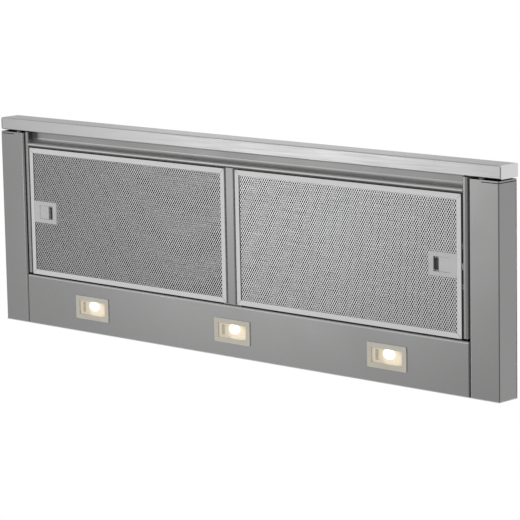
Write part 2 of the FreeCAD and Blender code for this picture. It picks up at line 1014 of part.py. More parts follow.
def flap(side):
    """A half-round flap, in front of the pin (-1) or behind it (1)."""
    low = flange_top + flap_gap
    z = (low, low + flap_sheet)
    radius = collar_inner - flap_edge_gap
    plate = rod_z(radius, 0, collar_y, z)
    edge = knuckle_radius + knuckle_gap
    kept_y = sorted((collar_y + side * edge, collar_y + side * radius))
    plate = plate.common(block((-radius, radius), kept_y, z))
    pitch = knuckle_length + knuckle_gap
    added = []
    for number in range(knuckle_count):
        if (number % 2 == 0) != (side < 0):
            continue
        x = around((number - (knuckle_count - 1) / 2) * pitch, knuckle_length)
        web_y = sorted((collar_y, collar_y + side * (edge + flap_sheet)))
        added.append(block(x, web_y, z))
        added.append(rod_x(knuckle_radius, x, collar_y, flap_pin_z))
    solid = plate.fuse(added).removeSplitter()
    bore = rod_x(flap_pin_radius + pin_play, (-radius, radius), collar_y, flap_pin_z)
    return solid.cut(bore)


# Electrical pieces


def electric_front():
    """Where the transformer and the capacitor start, behind the housing's front flange."""
    return -housing_depth + side_flange + electric_gap


def lamp_transformer():
    start = electric_front()
    return rounded_block(
        around(-electric_offset, transformer_length),
        (start, start + transformer_width),
        (lower_height, lower_height + transformer_height),
        transformer_corner,
    )


def motor_capacitor():
    y = electric_front() + capacitor_radius
    can = rod_z(capacitor_radius, electric_offset, y, (lower_height, lower_height + capacitor_height))
    rims = [edge for edge in can.Edges if edge.Closed]
    return can.makeFillet(capacitor_edge, rims)


def gland_height():
    """The level of the cable gland's axis."""
    return total_height + cover_height / 2


def terminal_cover():
    x = around(-cover_place, cover_length)
    y = around(collar_y, cover_width)
    top = total_height + cover_height
    solid = rounded_block(x, y, (total_height, top), cover_corner)
    rim = [edge for edge in solid.Edges if edge.CenterOfMass.z > top - pin_play]
    solid = solid.makeFillet(cover_edge, rim)
    hollow = block(
        (x[0] + cover_wall, x[1] - cover_wall),
        (y[0] + cover_wall, y[1] - cover_wall),
        (total_height, top - cover_wall),
    )
    gland_way = rod_x(gland_neck_radius + pin_play, (x[0], x[0] + cover_wall), collar_y, gland_height())
    return solid.cut(hollow.fuse(gland_way))


def cable_gland():
    wall = -cover_place - cover_length / 2
    head = rod_x(gland_radius, (wall - gland_reach, wall), collar_y, gland_height())
    outer = [edge for edge in head.Edges if edge.Closed and edge.CenterOfMass.x < wall - gland_reach / 2]
    head = head.makeFillet(gland_edge, outer)
    neck = rod_x(gland_neck_radius, (wall, wall + 2 * cover_wall), collar_y, gland_height())
    bore = rod_x(gland_bore_radius, (wall - gland_reach, wall + 2 * cover_wall), collar_y, gland_height())
    return head.fuse(neck).removeSplitter().cut(bore)


def plunger_start():
    """Where the plunger's nose stands, just behind the drawer."""
    return side_rear + running_gap


def switch_front():
    """Front of the drawer switch, behind the lamp panel's front flange."""
    return panel_front + sheet + switch_setback


def drawer_switch():
    y = (switch_front(), switch_front() + switch_depth)
    solid = block(around(switch_place, switch_length), y, (sheet, sheet + switch_height))
    bore_end = y[1] - switch_wall
    return solid.cut(rod_y(plunger_radius + pin_play, switch_place, (y[0], bore_end), plunger_z))


def switch_plunger():
    end = switch_front() + switch_depth - switch_wall - plunger_travel - running_gap
    return rod_y(plunger_radius, switch_place, (plunger_start(), end), plunger_z)


# Every node


def both_sides(name, right):
    """The node on the right and its mirror image on the left."""
    return {name + "_right": right, name + "_left": mirrored(right)}


def pair(right):
    """A piece and its mirror image as one group."""
    return Part.makeCompound([right, mirrored(right)])


def lamp_group(make):
    """One piece at each lamp."""
    return Part.makeCompound([make(x) for x in lamp_xs])


nodes = {
    "front_bar": front_bar(),
    "grip_channel": grip_channel(),
    "centre_bar": centre_bar(),
    "drawer_rear_rail": drawer_rear_rail(),
    "drawer_top": drawer_top(),
    "runner_outers": pair(runner_right(0, fixed_span)),
    "runner_inners": pair(runner_right(2, drawer_span)),
    "switch_plate": switch_plate(),
    "fan_knob": knob(0),
    "light_knob": knob(1),
    "bar_caps": pair(bar_cap_right()),
    "column_caps": pair(column_cap_right()),
    "buffers": pair(buffer_right()),
    "lamp_panel": lamp_panel(),
    "rear_rail": rear_rail(),
    "deck_plate": deck_plate(),
    "inner_filter_frame": inner_filter_frame(),
    "inner_filter_pack": inner_filter_pack(),
    "inner_filter_arms": pair(inner_filter_arm_right()),
    "lamp_bezels": lamp_group(lamp_bezel),
    "lamp_glasses": lamp_group(lamp_glass),
    "lamp_reflectors": lamp_group(lamp_reflector),
    "lamp_sockets": lamp_group(lamp_socket),
    "lamp_bulbs": lamp_group(lamp_bulb),
    "housing_front": housing_front(),
    "housing_back": housing_back(),
    "housing_top": housing_top(),
    "housing_screws": housing_screws(),
    "scroll_wrap": scroll_wrap(),
    "scroll_sides": pair(scroll_side_right()),
    "impeller": impeller(),
    "fan_shaft": fan_shaft(),
    "fan_motor": fan_motor(),
    "motor_bracket": motor_bracket(),
    "outlet_collar": outlet_collar(),
    "flap_pin": flap_pin(),
    "flap_front": flap(-1),
    "flap_rear": flap(1),
    "lamp_transformer": lamp_transformer(),
    "motor_capacitor": motor_capacitor(),
    "terminal_cover": terminal_cover(),
    "cable_gland": cable_gland(),
    "drawer_switch": drawer_switch(),
    "switch_plunger": switch_plunger(),
}
nodes.update(both_sides("runner_middle", runner_right(1, fixed_span)))
nodes.update(both_sides("drawer_side", drawer_side_right()))
nodes.update(both_sides("column", column_right()))
nodes.update(both_sides("filter_frame", filter_frame_right()))
nodes.update(both_sides("filter_pack", filter_pack_right()))
nodes.update(both_sides("latch_housing", latch_housing_right()))
nodes.update(both_sides("latch_slider", latch_slider_right()))
nodes.update(both_sides("housing", housing_right()))

os.makedirs("parts", exist_ok=True)
for name, shape in nodes.items():
    shape.exportStep("parts/" + name + ".step")
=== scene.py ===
import bpy
import json
import math
from mathutils import Matrix, Vector


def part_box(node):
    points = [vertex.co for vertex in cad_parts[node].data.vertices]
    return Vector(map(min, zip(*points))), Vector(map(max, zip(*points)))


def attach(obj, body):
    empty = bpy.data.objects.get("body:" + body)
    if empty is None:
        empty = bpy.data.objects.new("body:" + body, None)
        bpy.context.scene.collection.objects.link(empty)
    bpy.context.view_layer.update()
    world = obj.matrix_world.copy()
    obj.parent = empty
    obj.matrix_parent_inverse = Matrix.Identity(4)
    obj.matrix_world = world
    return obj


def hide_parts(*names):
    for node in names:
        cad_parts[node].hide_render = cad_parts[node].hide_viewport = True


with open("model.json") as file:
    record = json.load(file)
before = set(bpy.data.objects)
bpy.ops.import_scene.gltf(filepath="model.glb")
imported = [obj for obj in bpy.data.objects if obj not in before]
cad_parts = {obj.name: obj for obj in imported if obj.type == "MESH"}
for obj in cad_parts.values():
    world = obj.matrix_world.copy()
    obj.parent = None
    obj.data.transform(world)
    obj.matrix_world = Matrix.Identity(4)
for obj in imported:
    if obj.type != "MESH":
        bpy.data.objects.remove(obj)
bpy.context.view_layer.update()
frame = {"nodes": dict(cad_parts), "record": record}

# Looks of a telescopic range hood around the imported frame. Metres, +X right, +Y to the wall, +Z up.
MM = 0.001
SIDES = {"left": -1, "right": 1}
DOWN = (0.0, 0.0, -1.0)
UP = (0.0, 0.0, 1.0)
AHEAD = (0.0, -1.0, 0.0)

# Camera, in the frame of 520 x 520 pixels
IMAGE_SIDE = 520
FOCAL_PIXELS = 2717.9
SENSOR_WIDTH = 36.0
CAMERA_REACH = 1000.0
CAMERA_PLACE = Vector((2.44878, -0.72302, -2.53354))
IMAGE_RIGHT = Vector((0.72857, 0.01883, 0.68469))
IMAGE_DOWN = Vector((0.1002, 0.98591, -0.13369))

# Floor and light
FLOOR_LEVEL = -6.0
FLOOR_SIZE = 400.0
FLOOR_DARK = (0.86, 0.86, 0.86)
FLOOR_PALE = (0.89, 0.89, 0.89)
FLOOR_FIBRE = 3.0
FLOOR_ROUGHNESS = 0.9
WORLD_SEEN = 1.0
WORLD_DIFFUSE = 0.62
SUN_STRENGTH = 0.6
SUN_ANGLE = 76.0
SUN_FROM = Vector((-0.6, 1.5, 4.0))
LIGHTS = (
    # name, place, size, power
    ("key_below", (-2.46, 0.2, -2.9), 0.7, 6.8),
    ("glint_below", (-2.55, -0.95, -2.6), 0.4, 5.0),
    ("key_above", (-2.3, -0.72, 2.57), 0.8, 1.1),
)
AIM = Vector((0.0, -0.145, 0.02))

# Noise: its roughness, and the stretch of its greys that counts
NOISE_ROUGHNESS = 0.55
NOISE_MIDDLE = (0.3, 0.7)

# Brushed metal: scales per metre, weights against the lines, bump as strength and height
BRUSH_ACROSS = 900.0
BRUSH_ALONG = 14.0
BRUSH_CLOUDS = 7.0
BRUSH_CLOUD_WEIGHT = 0.8
BRUSH_FLAKES = 1500.0
BRUSH_FLAKE_WEIGHT = 0.5
BRUSH_TONES = (0.7, 1.6)
BRUSH_ROUGHNESS = (-0.05, 0.05)
BRUSH_BUMP = (0.06, 0.4 * MM)

# Metallic paint: scales per metre, the most that the clouds take and their shade
PAINT_FLAKES = 1400.0
PAINT_FLAKE_WEIGHT = 0.6
PAINT_CLOUDS = 6.0
PAINT_CLOUD_SHARE = 0.35
PAINT_CLOUD_SHADE = 0.9
PAINT_PEEL = 420.0
PAINT_ROUGHNESS = (-0.03, 0.04)
PAINT_BUMP = (0.05, 0.3 * MM)

# Galvanised sheet: scales per metre, weights against the spangle
ZINC_SPANGLE = 190.0
ZINC_CRYSTALS = 75.0
ZINC_CRYSTAL_WEIGHT = 0.7
ZINC_CLOUDS = 9.0
ZINC_CLOUD_WEIGHT = 0.8
ZINC_LINES = (25.0, 700.0, 700.0)
ZINC_LINE_WEIGHT = 0.6
ZINC_TONES = (0.6, 2.5)
ZINC_SWING = 0.14
ZINC_ROUGHNESS = (0.40, 0.47)
ZINC_BUMP = (0.05, 0.3 * MM)
ZINC_METALLIC = 0.85

# Moulded plastic: scales per metre
PLASTIC_GRAIN = 900.0
SOFT_GRAIN = 500.0
PLASTIC_MARKS = 35.0
PLASTIC_SWING = 0.06
PLASTIC_ROUGHNESS = (-0.05, 0.06)
PLASTIC_BUMP = (0.12, 0.2 * MM)

# Lamps: the patches on the glass are given by their shift from a pane's middle and their half size
LAMPS = 3
BEZEL_LENGTH = 64.5 * MM
GLOW_SHIFT = (2.7 * MM, -3.7 * MM)
GLOW_HALF = (8.9 * MM, 6.4 * MM)
GLOW_STRENGTH = 1.2
HALO_SHIFT = (8.0 * MM, 1.0 * MM)
HALO_HALF = (15.0 * MM, 11.0 * MM)
HALO_STRENGTH = 0.16
SOCKET_SHIFT = (-17.4 * MM, -0.6 * MM)
SOCKET_HALF = (2.7 * MM, 7.0 * MM)
SOCKET_DIMMING = 0.20
ROUND_POWER = 2.0
SQUARE_POWER = 10.0
PATCH_EDGE = (0.6, 1.5)
GLASS_STRENGTH = 0.20
GLASS_RIPPLES = 420.0
RIPPLE_STRENGTH = 0.03
RIPPLE_ROUGHNESS = 0.06
GLASS_ROUGHNESS = 0.32
GLASS_BUMP = (0.2, 0.3 * MM)
GLASS_SHADE = 0.6
GLASS_CLEARNESS = 0.25
GLASS_IOR = 1.45
BULB_CLOUDS = 160.0
BULB_SHADE = 0.9
BULB_ROUGHNESS = (0.1, 0.2)

# Limits on a face's normal: its height on upright faces, and its part along an axis on faces square to it
UPRIGHT = 0.3
SQUARE = 0.99

# The grip channel's lip, which takes a painted highlight, lies below the first height and its sweep, which
# takes painted light, above the second
LIP_HEIGHT = 0.25 * MM
SWEEP_HEIGHT = 3.6 * MM

# Expanded filter sheets; the openings' share of their cells is measured along a diagonal
MESH_PITCH = 3.76 * MM
MESH_ROW = 2.81 * MM
OPENING_SHARE = 0.77
SHEET_THICKNESS = 0.3 * MM
SHEET_SEAT = 0.02 * MM
SHEET_UNDER_FRAME = 3.0 * MM
FRAME_BORDER = 6.7 * MM
FRAME_WALL = 1.0 * MM
TAB_REACH = 2.0 * MM
PACK_PLAY = 0.5 * MM
CORE_FOLD = 9.0 * MM
CORE_LOW = 2.0 * MM
CORE_HIGH = 7.2 * MM
CORE_SHEET = 0.3 * MM
BACK_HEIGHT = 8.1 * MM
MITRE_WIDTH = 0.3 * MM
NOWHERE = ((0.0, 0.0), (0.0, 0.0))

# Coarser sheets of the filters' backs and of the fixed inner filter, and the inner filter's frame
COARSE_PITCH = 6.4 * MM
COARSE_ROW = 4.8 * MM
INNER_UNDER_FRAME = 4.0 * MM
INNER_BORDER = 12.0 * MM
INNER_WALL = 1.0 * MM

# Sides of a surface on which it is thickened
BOTH_SIDES = 0.0
BACK_SIDE = -1.0

# Painted shade: dark trays in the latches' finger openings
LINER_GAP = 0.06 * MM
LINER_SHEET = 0.06 * MM
LINER_RIM = 1.0 * MM
LATCH_RECESS_DEPTH = 5.5 * MM
LATCH_RECESS_WIDTH = 19.0 * MM
LATCH_RECESS_LENGTH = 26.1 * MM
LATCH_RECESS_INSET = 11.3 * MM

# Strips along folds, seams and gaps, most of them painted shade
LINE_WIDTH = 0.75 * MM
LINE_PROUD = 0.04 * MM
LINE_DEPTH = 0.06 * MM
SHEET_FOLD = 1.6 * MM
SEAM_WIDTH = 0.3 * MM
CORNER_LINE = 1.2 * MM
BAR_CAP = 2.0 * MM
CENTRE_GAP = 1.2 * MM
CENTRE_GAP_INSET = 2.6 * MM

# The slit near each column's front end
COLUMN_SHEET = 1.0 * MM
SLIT_SEAT = 0.06 * MM
SLIT_SETBACK = 2.0 * MM
SLIT_WIDTH = 1.0 * MM
SLIT_REACH = 27.0 * MM

# Painted shade: the plates at the grip channel's ends, from the bar to short of its lip, and the dark
# strips behind the lip
CHANNEL_LIP = 5.2 * MM
CHANNEL_END_GAP = 3.0 * MM
CHANNEL_END_LOW = 1.0 * MM
CHANNEL_END_HIGH = 9.0 * MM
LIP_STRIP = 1.3 * MM
LIP_STRIP_HEIGHT = 1.1 * MM

# Painted shade strips in the gaps between the lamp panel's ends and the columns
PANEL_STRIP_HEIGHT = 0.5 * MM

# Folded flanges and rivets on the housing's sides
FLANGE_WIDTH = 14.0 * MM
FLANGE_SHEET = 0.8 * MM
FLANGE_GAP = 1.0 * MM
RIVET_RADIUS = 2.4 * MM
RIVET_HEIGHT = 1.0 * MM
RIVETS = 4
RIVET_END = 18.0 * MM

# Round heads
DOME_RINGS = 3
DOME_SIDES = 14

# Screw heads
SCREW_RADIUS = 3.6 * MM
HEAD_RADIUS = 2.9 * MM
HEAD_HEIGHT = 1.3 * MM
COLLAR_PLATE = 3.0 * MM
COLLAR_SCREW_INSET = 8.0 * MM
COVER_SCREW_INSET = 7.0 * MM
SCREW_ROWS = 3
SCREW_ROW_PITCH = 92.0 * MM
CROSS_LENGTH = 4.0 * MM
CROSS_WIDTH = 0.8 * MM


# Shader helpers


def shade(colour, factor):
    """A colour made lighter or darker."""
    return tuple(min(1.0, part * factor) for part in colour)


class Graph:
    """A node material with its texture coordinates and short ways to add nodes."""

    def __init__(self, name):
        self.material = bpy.data.materials.new(name)
        self.material.use_nodes = True
        self.tree = self.material.node_tree
        self.shader = self.tree.nodes["Principled BSDF"]
        self.place = self.add("ShaderNodeTexCoord").outputs["Object"]

    def add(self, kind):
        return self.tree.nodes.new(kind)

    def link(self, output, socket):
        self.tree.links.new(output, socket)

    def feed(self, **outputs):
        """Links outputs to the shader's sockets, whose names have _ for a space."""
        for name, output in outputs.items():
            self.link(output, self.shader.inputs[name.replace("_", " ")])

    def set(self, **values):
        """Sets the shader's sockets, whose names have _ for a space."""
        for name, value in values.items():
            self.shader.inputs[name.replace("_", " ")].default_value = value

    def stretched(self, scale):
        """Coordinates scaled by a number, or by three of them so that a pattern runs long in one way."""
        mapping = self.add("ShaderNodeMapping")
        mapping.inputs["Scale"].default_value = scale if isinstance(scale, tuple) else (scale, scale, scale)
        self.link(self.place, mapping.inputs["Vector"])
        return mapping.outputs["Vector"]

    def noise(self, scale, detail=3.0):
        texture = self.add("ShaderNodeTexNoise")
        texture.inputs["Scale"].default_value = 1.0
        texture.inputs["Detail"].default_value = detail
        texture.inputs["Roughness"].default_value = NOISE_ROUGHNESS
        self.link(self.stretched(scale), texture.inputs["Vector"])
        return texture.outputs["Fac"]

    def cells(self, scale):
        """Random grey per cell, for zinc spangle."""
        texture = self.add("ShaderNodeTexVoronoi")
        texture.inputs["Scale"].default_value = 1.0
        self.link(self.stretched(scale), texture.inputs["Vector"])
        split = self.add("ShaderNodeSeparateColor")
        self.link(texture.outputs["Color"], split.inputs["Color"])
        return split.outputs["Red"]

    def math(self, operation, *terms):
        """The result of a math node whose terms are numbers or outputs."""
        node = self.add("ShaderNodeMath")
        node.operation = operation
        for socket, term in zip(node.inputs, terms):
            if isinstance(term, float):
                socket.default_value = term
            else:
                self.link(term, socket)
        return node.outputs["Value"]

    def total(self, value, *others):
        """A value plus others, each given with its weight."""
        for other, weight in others:
            value = self.math("MULTIPLY_ADD", other, weight, value)
        return value

    def remap(self, value, old, new, kind="LINEAR"):
        """Maps the old stretch of a value to a new one, and holds it at the ends beyond."""
        node = self.add("ShaderNodeMapRange")
        node.interpolation_type = kind
        for name, limit in zip(("From Min", "From Max", "To Min", "To Max"), (*old, *new)):
            node.inputs[name].default_value = limit
        self.link(value, node.inputs["Value"])
        return node.outputs["Result"]

    def spread(self, value, low, high):
        """Maps the middle of a noise to the stretch from low to high."""
        return self.remap(value, NOISE_MIDDLE, (low, high))

    def roughen(self, value, roughness, swing):
        """A roughness that goes from its lowest to its highest swing with a noise."""
        self.feed(Roughness=self.spread(value, roughness + swing[0], roughness + swing[1]))

    def blend(self, share, first, second):
        """Two colours mixed by a share from 0 to 1."""
        mix = self.add("ShaderNodeMix")
        mix.data_type = "RGBA"
        self.link(share, mix.inputs["Factor"])
        for socket, colour in ((mix.inputs["A"], first), (mix.inputs["B"], second)):
            if isinstance(colour, tuple):
                socket.default_value = (*colour, 1.0)
            else:
                self.link(colour, socket)
        return mix.outputs["Result"]

    def two_tone(self, share, colour, swing):
        """A colour that goes from darker to lighter with a share from 0 to 1."""
        return self.blend(share, shade(colour, 1 - swing), shade(colour, 1 + swing))

    def patch(self, pitch, centre, half, power):
        """A soft patch, 1 inside and 0 outside, that comes back at every pitch along X.

        It is an ellipse at a power of 2 and nears a rectangle at a high one.
        """
        split = self.add("ShaderNodeSeparateXYZ")
        self.link(self.place, split.inputs["Vector"])
        wrapped = self.math("WRAP", split.outputs["X"], pitch / 2, -pitch / 2)
        parts = []
        for value, middle, reach in zip((wrapped, split.outputs["Y"]), centre, half):
            share = self.math("MULTIPLY_ADD", value, 1 / reach, -middle / reach)
            parts.append(self.math("POWER", self.math("ABSOLUTE", share), power))
        distance = self.total(parts[0], (parts[1], 1.0))
        return self.remap(distance, PATCH_EDGE, (1.0, 0.0), "SMOOTHSTEP")

    def bump(self, height, strength, distance):
        node = self.add("ShaderNodeBump")
        node.inputs["Strength"].default_value = strength
        node.inputs["Distance"].default_value = distance
        self.link(height, node.inputs["Height"])
        self.feed(Normal=node.outputs["Normal"])


def brushed_metal(name, colour, roughness, along, swing=0.08, metallic=1.0, edge=1.0):
    """Metal with fine brush lines along X (0), Y (1) or Z (2), slow clouds and small flakes.

    edge is the share of the mirror that is left at a glancing look.
    """
    graph = Graph(name)
    scale = [BRUSH_ACROSS, BRUSH_ACROSS, BRUSH_ACROSS]
    scale[along] = BRUSH_ALONG
    lines = graph.noise(tuple(scale), detail=4.0)
    clouds = graph.noise(BRUSH_CLOUDS, detail=2.0)
    flakes = graph.noise(BRUSH_FLAKES, detail=1.0)
    tone = graph.total(lines, (clouds, BRUSH_CLOUD_WEIGHT), (flakes, BRUSH_FLAKE_WEIGHT))
    graph.feed(Base_Color=graph.two_tone(graph.remap(tone, BRUSH_TONES, (0.0, 1.0)), colour, swing))
    graph.roughen(lines, roughness, BRUSH_ROUGHNESS)
    graph.bump(lines, *BRUSH_BUMP)
    graph.set(Metallic=metallic, Specular_Tint=(edge, edge, edge, 1.0))
    return graph.material


def flake_paint(name, colour, roughness, metallic, swing=0.07):
    """Satin metallic paint: tiny flakes, slow clouds and a faint orange peel."""
    graph = Graph(name)
    flakes = graph.noise(PAINT_FLAKES, detail=2.0)
    clouds = graph.noise(PAINT_CLOUDS, detail=2.0)
    peel = graph.noise(PAINT_PEEL, detail=2.0)
    paint = graph.two_tone(graph.spread(flakes, 0.0, 1.0), colour, swing)
    cloud_share = graph.spread(clouds, 0.0, PAINT_CLOUD_SHARE)
    graph.feed(Base_Color=graph.blend(cloud_share, paint, shade(colour, PAINT_CLOUD_SHADE)))
    graph.roughen(clouds, roughness, PAINT_ROUGHNESS)
    graph.bump(graph.total(peel, (flakes, PAINT_FLAKE_WEIGHT)), *PAINT_BUMP)
    graph.set(Metallic=metallic)
    return graph.material


def zinc_sheet(name, colour):
    """Galvanised steel: faint spangle, fine rolling lines and slow clouds."""
    graph = Graph(name)
    spangle = graph.cells(ZINC_SPANGLE)
    crystals = graph.cells(ZINC_CRYSTALS)
    clouds = graph.noise(ZINC_CLOUDS)
    lines = graph.noise(ZINC_LINES)
    tone = graph.total(
        spangle, (crystals, ZINC_CRYSTAL_WEIGHT), (clouds, ZINC_CLOUD_WEIGHT), (lines, ZINC_LINE_WEIGHT),
    )
    graph.feed(
        Base_Color=graph.two_tone(graph.remap(tone, ZINC_TONES, (0.0, 1.0)), colour, ZINC_SWING),
        Roughness=graph.spread(crystals, *ZINC_ROUGHNESS),
    )
    graph.bump(lines, *ZINC_BUMP)
    graph.set(Metallic=ZINC_METALLIC)
    return graph.material


def moulded_plastic(name, colour, roughness, grain=PLASTIC_GRAIN, gloss=0.5):
    """Moulded plastic with a fine spark-eroded texture and slight handling marks."""
    graph = Graph(name)
    texture = graph.noise(grain, detail=3.0)
    marks = graph.noise(PLASTIC_MARKS, detail=4.0)
    graph.feed(Base_Color=graph.two_tone(graph.spread(marks, 0.0, 1.0), colour, PLASTIC_SWING))
    graph.roughen(marks, roughness, PLASTIC_ROUGHNESS)
    graph.bump(texture, *PLASTIC_BUMP)
    graph.set(Specular_IOR_Level=gloss)
    return graph.material


def lit_glass(name, colour, hot_colour, pitch, middle_y):
    """Frosted lamp glass with a pressed ripple: it glows before each bulb and is dimmer before its socket.

    The panes stand a pitch apart along X, one of them at x = 0.
    """
    graph = Graph(name)

    def patch(shift, half, power):
        return graph.patch(pitch, (shift[0], middle_y + shift[1]), half, power)

    ripple = graph.spread(graph.noise(GLASS_RIPPLES, detail=2.0), -1.0, 1.0)
    glow = patch(GLOW_SHIFT, GLOW_HALF, ROUND_POWER)
    halo = patch(HALO_SHIFT, HALO_HALF, ROUND_POWER)
    dim = patch(SOCKET_SHIFT, SOCKET_HALF, SQUARE_POWER)
    strength = graph.math("MULTIPLY_ADD", glow, GLOW_STRENGTH, GLASS_STRENGTH)
    graph.feed(
        Emission_Color=graph.blend(glow, colour, hot_colour),
        Emission_Strength=graph.total(
            strength, (halo, HALO_STRENGTH), (dim, -SOCKET_DIMMING), (ripple, RIPPLE_STRENGTH),
        ),
        Roughness=graph.math("MULTIPLY_ADD", ripple, RIPPLE_ROUGHNESS, GLASS_ROUGHNESS),
    )
    graph.bump(ripple, *GLASS_BUMP)
    graph.set(
        Base_Color=(*shade(colour, GLASS_SHADE), 1.0), Transmission_Weight=GLASS_CLEARNESS, IOR=GLASS_IOR,
    )
    return graph.material


def lit_bulb(name, colour, strength):
    """A lit capsule with a faintly uneven glow."""
    graph = Graph(name)
    clouds = graph.noise(BULB_CLOUDS, detail=1.0)
    graph.feed(
        Emission_Color=graph.blend(graph.spread(clouds, 0.0, 1.0), shade(colour, BULB_SHADE), colour),
        Roughness=graph.spread(clouds, *BULB_ROUGHNESS),
    )
    graph.set(Base_Color=(*colour, 1.0), Emission_Strength=strength)
    return graph.material


# Mesh helpers


def new_object(name, data):
    """An object with this data in the scene."""
    made = bpy.data.objects.new(name, data)
    bpy.context.scene.collection.objects.link(made)
    return made


def new_piece(name, shape, material, body):
    """A mesh object of points and faces that rides a body and takes a slot's finish."""
    verts, faces = shape
    mesh = bpy.data.meshes.new(name)
    mesh.from_pydata(verts, [], faces)
    mesh.validate()
    mesh.materials.append(material)
    piece = new_object(name, mesh)
    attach(piece, body)
    return piece


def thicken(piece, thickness, offset):
    """Makes a surface a sheet that lies on both sides of it or on its back side."""
    sheet = piece.modifiers.new("sheet", "SOLIDIFY")
    sheet.thickness = thickness
    sheet.offset = offset


def end_x(node, side):
    """Where a node's box ends in X on one side."""
    low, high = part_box(node)
    return low.x if side < 0 else high.x


def rectangle(node, inset=0.0):
    """The stretches of a node's box in X and Y, less an inset at every edge."""
    low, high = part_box(node)
    return (low.x + inset, high.x - inset), (low.y + inset, high.y - inset)


def is_inside(area, x, y):
    """True for a point inside a rectangle."""
    return area[0][0] < x < area[0][1] and area[1][0] < y < area[1][1]


def diamond_mesh(x, y, z, pitch, row, keep_out=NOWHERE):
    """Points and faces of an expanded sheet with staggered diamond openings.

    Its face lies at z[0], turned away from z[1], to which the openings' walls reach.
    keep_out is a rectangle whose whole cells are left out.
    """
    columns = int((x[1] - x[0]) / pitch)
    rows = int((y[1] - y[0]) / row) - 1
    margin_x = (x[1] - x[0] - columns * pitch) / 2
    margin_y = (y[1] - y[0] - (rows + 1) * row) / 2
    verts = []
    faces = []
    corners = {}
    ring = [(1, 0), (0, 1), (-1, 0), (0, -1)]

    def place(across, up):
        """The point at half-pitch and whole-row steps from the sheet's first corner."""
        return x[0] + margin_x + across * pitch / 2, y[0] + margin_y + up * row

    def corner(across, up):
        """The number of the strand crossing at these steps, shared by the cells around it."""
        if (across, up) not in corners:
            corners[across, up] = len(verts)
            verts.append((*place(across, up), z[0]))
        return corners[across, up]

    def is_kept_out(middle_x, middle_y):
        """True where a cell and its neighbours lie inside the rectangle."""
        first = is_inside(keep_out, middle_x - pitch, middle_y - 2 * row)
        return first and is_inside(keep_out, middle_x + pitch, middle_y + 2 * row)

    for line in range(rows):
        stagger = line % 2
        for cell in range(columns - stagger):
            across = 2 * cell + 1 + stagger
            up = line + 1
            middle_x, middle_y = place(across, up)
            if is_kept_out(middle_x, middle_y):
                continue
            outer = [corner(across + dx, up + dy) for dx, dy in ring]
            first = len(verts)
            for level in z:
                for dx, dy in ring:
                    opening_x = middle_x + dx * OPENING_SHARE * pitch / 2
                    opening_y = middle_y + dy * OPENING_SHARE * row
                    verts.append((opening_x, opening_y, level))
            for side in range(len(ring)):
                after = (side + 1) % len(ring)
                low = first + side
                low_after = first + after
                faces.append((outer[after], outer[side], low, low_after))
                faces.append((low_after, low, low + len(ring), low_after + len(ring)))
    if z[0] > z[1]:
        faces = [tuple(reversed(face)) for face in faces]
    return verts, faces


def folded_core(x, y, z, fold, keep_out):
    """Points and faces of a zigzag sheet with a rectangle left out, at whose edges in Y it is divided."""
    steps = int((x[1] - x[0]) / (fold / 2))
    width = (x[1] - x[0]) / steps
    lines = (y[0], *keep_out[1], y[1])
    verts = [
        (x[0] + step * width, line, z[step % 2])
        for line in lines
        for step in range(steps + 1)
    ]
    faces = []
    for row in range(len(lines) - 1):
        middle_y = (lines[row] + lines[row + 1]) / 2
        for step in range(steps):
            if is_inside(keep_out, x[0] + (step + 0.5) * width, middle_y):
                continue
            start = row * (steps + 1) + step
            faces.append((start, start + 1, start + steps + 2, start + steps + 1))
    return verts, faces


def strip(start, end, width, normal, proud=LINE_PROUD):
    """Points and faces of a thin flat strip between two points of a surface with this normal."""
    start = Vector(start)
    end = Vector(end)
    normal = Vector(normal).normalized()
    across = normal.cross(end - start).normalized() * width / 2
    outline = [start - across, end - across, end + across, start + across]
    verts = [point - normal * LINE_DEPTH for point in outline]
    verts += [point + normal * proud for point in outline]
    faces = [
        (3, 2, 1, 0), (4, 5, 6, 7), (0, 1, 5, 4), (1, 2, 6, 5), (2, 3, 7, 6), (3, 0, 4, 7),
    ]
    return [tuple(point) for point in verts], faces


def dome(centre, normal, radius, height):
    """Points and faces of a low round head on a surface with this normal."""
    normal = Vector(normal).normalized()
    turn = normal.to_track_quat("Z", "Y")
    centre = Vector(centre)
    verts = []
    faces = []
    for ring in range(DOME_RINGS):
        angle = math.pi / 2 * ring / DOME_RINGS
        for side in range(DOME_SIDES):
            around = 2 * math.pi * side / DOME_SIDES
            out = radius * math.cos(angle)
            point = Vector((out * math.cos(around), out * math.sin(around), height * math.sin(angle)))
            verts.append(tuple(centre + turn @ point))
    verts.append(tuple(centre + normal * height))
    for ring in range(DOME_RINGS):
        for side in range(DOME_SIDES):
            first = ring * DOME_SIDES + side
            after = ring * DOME_SIDES + (side + 1) % DOME_SIDES
            if ring == DOME_RINGS - 1:
                faces.append((first, after, len(verts) - 1))
            else:
                faces.append((first, after, after + DOME_SIDES, first + DOME_SIDES))
    faces.append(tuple(reversed(range(DOME_SIDES))))
    return verts, faces


def tray(x, y, z):
    """Points and faces of an open tray, its floor at z[1] and its rim at z[0] below it."""
    outline = [(x[0], y[0]), (x[1], y[0]), (x[1], y[1]), (x[0], y[1])]
    sides = len(outline)
    verts = [(*corner, level) for level in z for corner in outline]
    faces = [(4, 7, 6, 5)]
    for side in range(sides):
        after = (side + 1) % sides
        faces.append((side, side + sides, after + sides, after))
    return verts, faces


def joined(parts):
    """Several (points, faces) pairs as one."""
    verts = []
    faces = []
    for part_verts, part_faces in parts:
        base = len(verts)
        verts += part_verts
        faces += [tuple(base + index for index in face) for face in part_faces]
    return verts, faces


def cross(x, y, z):
    """Points and faces of a cross recess on a screw's head."""
    half = CROSS_LENGTH / 2
    return joined([
        strip((x - half, y, z), (x + half, y, z), CROSS_WIDTH, UP),
        strip((x, y - half, z), (x, y + half, z), CROSS_WIDTH, UP),
    ])


# Materials

